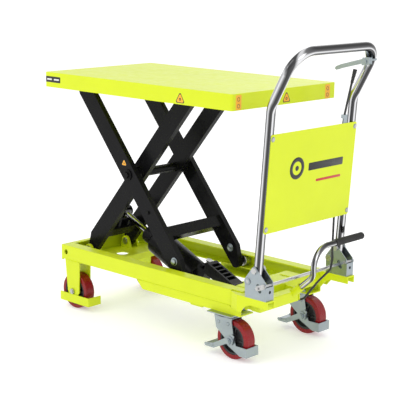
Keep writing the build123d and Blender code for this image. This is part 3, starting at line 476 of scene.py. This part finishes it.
# ---- wheels and casters -------------------------------------------------------------
def wheel_details():
    """Seals, caps and tread lines of the four wheels, and the swivel seals."""
    wheels = [("fixed_wheel", -350.0, 173.0, 22.0), ("caster_wheel", CASTER_X, CASTER_Y, 20.5)]
    for name, x, y, boss in wheels:
        for side, s in SIDES:
            body = f"{name}_{side}"
            for face, f in (("out", s), ("in", -s)):
                axis = Vector((0, f, 0))
                centre = place(x, s * y, WHEEL_Z)
                ring(f"{body}_seal_{face}", centre + axis * (boss - 0.4) * MM, axis, 7.5, 12.5, 0.6,
                     LOOKS["black_rubber"], body, "black_rubber")
                ring(f"{body}_lip_{face}", centre + axis * 17.6 * MM, axis, 41.5, 47.6, 0.9,
                     LOOKS["black_iron"], body, "black_iron")
                ring(f"{body}_bond_{face}", centre + axis * 18.7 * MM, axis, 48.2, 49.6, 0.5,
                     LOOKS["red_tread"], body, "red_tread")
                for k in range(5):
                    turn = 2 * pi * k / 5
                    lean = Vector((cos(turn), 0, sin(turn)))
                    cross = Vector((-sin(turn), 0, cos(turn)))
                    up = lean if axis.dot(cross.cross(lean)) > 0 else -lean
                    tile(f"{body}_rib_{face}_{k}", centre + axis * 11.0 * MM + lean * 28.0 * MM,
                         cross, up, 5.0, 26.0, 5.5, 1.0, LOOKS["black_iron"], body)
            ring(f"{body}_parting", place(x, s * y - 0.5, WHEEL_Z), ALONG_Y, 62.0, 62.5, 1.0,
                 LOOKS["red_tread"], body, "red_tread", steps=96)
    for side, s in SIDES:
        ring(f"swivel_seal_{side}", place(SWIVEL_X, s * CASTER_Y, 133.0), (0, 0, 1), 30.2, 32.0, 4.5,
             LOOKS["black_rubber"], "base", "black_rubber")
        ring(f"swivel_dust_{side}", place(SWIVEL_X, s * CASTER_Y, 131.1), (0, 0, 1), 29.3, 31.0, 1.4,
             LOOKS["zinc_plate"], f"caster_{side}", "zinc_plate")


# ---- rubber and small hardware ------------------------------------------------------
def grip():
    """Ribbed rubber sleeve in place of the plain one."""
    profile = [(9.2, 0.0), (10.6, 0.5), (11.4, 2.0), (11.4, 6.0)]
    height = 8.0
    while height < 134.0:
        profile += [(10.5, height), (10.5, height + 1.6), (11.4, height + 2.2),
                    (11.4, height + 4.4)]
        height += 5.0
    profile += [(11.4, 139.0), (10.8, 142.0), (8.8, 144.2), (3.0, 144.9)]
    piece = lathe("grip_sleeve", profile, place(562.0, 91.0, 350.5), ALONG_Y,
                  LOOKS["black_rubber"], "pedal")
    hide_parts("pedal_grip")


def bellows():
    """Ribbed boot in place of the plain one."""
    bottom = Vector((-11.0, 0.0, -42.0)).normalized()
    profile = [(3.6, 0.0), (6.4, 0.3)]
    for k in range(9):
        radius = 6.8 - 0.22 * k
        profile += [(radius, 1.5 + 4.8 * k), (radius, 3.6 + 4.8 * k), (radius - 1.3, 4.6 + 4.8 * k),
                    (radius - 1.3, 5.4 + 4.8 * k)]
    profile += [(3.6, 45.5)]
    top = place(565.2, 150.0, 865.6) - bottom * 23.0 * MM
    piece = lathe("boot_bellows", profile, top, bottom, LOOKS["black_rubber"], "handle")
    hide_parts("cable_boot")


def bolt_head(name, spot, out, across, tall, body):
    """Washer and hexagon head with a turned crown."""
    zinc = LOOKS["zinc_plate"]
    ring(f"{name}_washer", spot, out, across * 0.3, across * 0.78, 1.4, zinc, body, "zinc_plate")
    lathe(f"{name}_head", [(across * 0.55, 1.4), (across * 0.577, 1.8), (across * 0.577, tall - 0.9),
                           (across * 0.50, tall)], spot, out, zinc, body, steps=6)


def caster_hardware():
    """Brake bosses and ribs, and rivets on the fork plates of the swivel casters."""
    zinc = LOOKS["zinc_plate"]
    for side, s in SIDES:
        out = Vector((0, s, 0))
        for face, f in (("out", 1), ("in", -1)):
            axis = out * f
            hub = place(CASTER_X, s * CASTER_Y, WHEEL_Z)
            spot = hub + axis * 32.2 * MM
            ring(f"brake_boss_{side}_{face}", spot, axis, 7.4, 15.5, 1.6, zinc, f"brake_{side}",
                 "zinc_plate")
            ring(f"brake_step_{side}_{face}", spot, axis, 7.4, 11.5, 1.9, zinc, f"brake_{side}",
                 "zinc_plate")
            for k, along in enumerate((-70.0, -88.0)):
                rib = hub + axis * 32.0 * MM + Vector((along, 0, -29.0)) * MM
                tile(f"brake_rib_{side}_{face}_{k}", rib, axis.cross(Vector((0, 0, -1))), (0, 0, 1),
                     6.0, 7.0, 1.2, 1.5, zinc, f"brake_{side}")
            for k, (x, z) in enumerate(((345.0, 112.0), (384.0, 112.0))):
                lathe(f"fork_rivet_{side}_{face}_{k}", [(5.6, 0.0), (5.6, 0.8), (4.2, 2.0), (1.6, 2.6)],
                      place(x, s * CASTER_Y, z) + axis * 25.0 * MM, axis, zinc, f"caster_{side}",
                      steps=24)


def hardware():
    """Caps, washers and plugs on pins and bolts."""
    zinc = LOOKS["zinc_plate"]
    bolt_head("bolt_arm_near", outer_arm_point(52.0, 14.0, -148.0), NEAR, 17.0, 8.0, "outer_frame")
    bolt_head("bolt_arm_far", outer_arm_point(52.0, 12.0, 128.0), NEAR, 17.0, 3.6, "outer_frame")
    for side, s in SIDES:
        out = Vector((0, s, 0))
        ring(f"washer_centre_{side}", place(CROSS[0], s * 152.5, CROSS[1]), out, 11.2, 15.0, 1.2,
             LOOKS["black_paint"], "inner_frame", "black_paint")
        for name, (x, z), y in (("pivot", (LEG_X, LEG_Z), 217.6), ("stop", (471.0, 269.0), 220.0)):
            ring(f"washer_{name}_{side}", place(x, s * y, z), out, 5.0, 11.0, 0.8, zinc, "base",
                 "zinc_plate")
        lathe(f"leg_plug_{side}", [(11.2, 0.0), (11.2, 1.5), (13.6, 1.9), (13.6, 4.0), (12.6, 5.0)],
              place(LEG_FOOT[0], s * 200.0, LEG_FOOT[1]) + PANEL_UP * 1.5 * MM, -PANEL_UP,
              LOOKS["black_plastic"], "handle")
        for k, up in enumerate((128.0, 401.0)):
            ring(f"screw_washer_{side}_{k}", on_leg(16.0, s * 200.0, up), PANEL_OUT, 5.8, 8.0, 0.7,
                 zinc, "handle", "zinc_plate")
    for k in range(7):
        along = 143.0 + 4.6 * k
        axis = on_ram(along + 10, 0) - on_ram(along, 0)
        ring(f"gland_groove_{k}", on_ram(along, 0), axis, 29.9, 30.6, 2.2, LOOKS["black_paint"],
             "pump", "black_paint")
    axis = on_ram(0, 10) - on_ram(0, 0)
    lathe("filler_cap", [(8.2, 0), (8.2, 4.0), (7.4, 5.0), (4.0, 5.4)], on_ram(217.0, 50.0), axis,
          LOOKS["black_plastic"], "pump")


stickers()
welds()
wheel_details()
grip()
bellows()
caster_hardware()
hardware()


# ---- light, floor and camera --------------------------------------------------------
def studio():
    """Pale floor, soft lights and a white surround."""
    size = 30.0
    mesh = bmesh.new()
    corners = [mesh.verts.new((x * size, y * size, 0.0)) for x, y in ((-1, -1), (1, -1), (1, 1),
                                                                      (-1, 1))]
    mesh.faces.new(corners)
    data = bpy.data.meshes.new("floor")
    mesh.to_mesh(data)
    mesh.free()
    floor = bpy.data.objects.new("floor", data)
    bpy.context.collection.objects.link(floor)
    data.materials.append(FLOOR)
    world = bpy.data.worlds.new("surround")
    bpy.context.scene.world = world
    world.use_nodes = True
    world.node_tree.nodes["Background"].inputs["Color"].default_value = (1.0, 1.0, 1.0, 1.0)
    world.node_tree.nodes["Background"].inputs["Strength"].default_value = 1.0
    lights = (("key", (-1.2, -3.2, 3.2), 40.0, 2.6), ("fill", (4.2, -0.6, 2.2), 22.0, 2.4),
              ("back", (-1.5, 3.2, 2.8), 16.0, 2.4))
    for name, spot, power, span in lights:
        lamp = bpy.data.lights.new(name, "AREA")
        lamp.energy = power
        lamp.shape = "DISK"
        lamp.size = span
        holder = bpy.data.objects.new(name, lamp)
        bpy.context.collection.objects.link(holder)
        aim = Vector((0.0, 0.0, 0.5)) - Vector(spot)
        holder.matrix_world = Matrix.Translation(spot) @ aim.to_track_quat("-Z", "Y").to_matrix().to_4x4()


def camera():
    """Eye-level view from the handle end, near side."""
    turn, drop, roll = radians(133.1), radians(12.0), radians(0.7)
    forward = Vector((cos(drop) * cos(turn), cos(drop) * sin(turn), -sin(drop)))
    right = Vector((sin(turn), -cos(turn), 0.0))
    up = right.cross(forward)
    right, up = right * cos(roll) + up * sin(roll), up * cos(roll) - right * sin(roll)
    lens = bpy.data.cameras.new("camera")
    lens.lens = 106.5
    lens.sensor_width = 36.0
    holder = bpy.data.objects.new("camera", lens)
    bpy.context.collection.objects.link(holder)
    turned = Matrix((right, up, -forward)).transposed().to_4x4()
    holder.matrix_world = Matrix.Translation(place(2703.1, -2815.8, 1244.1)) @ turned
    bpy.context.scene.camera = holder


studio()
camera()
bpy.context.scene.view_settings.view_transform = "Standard"
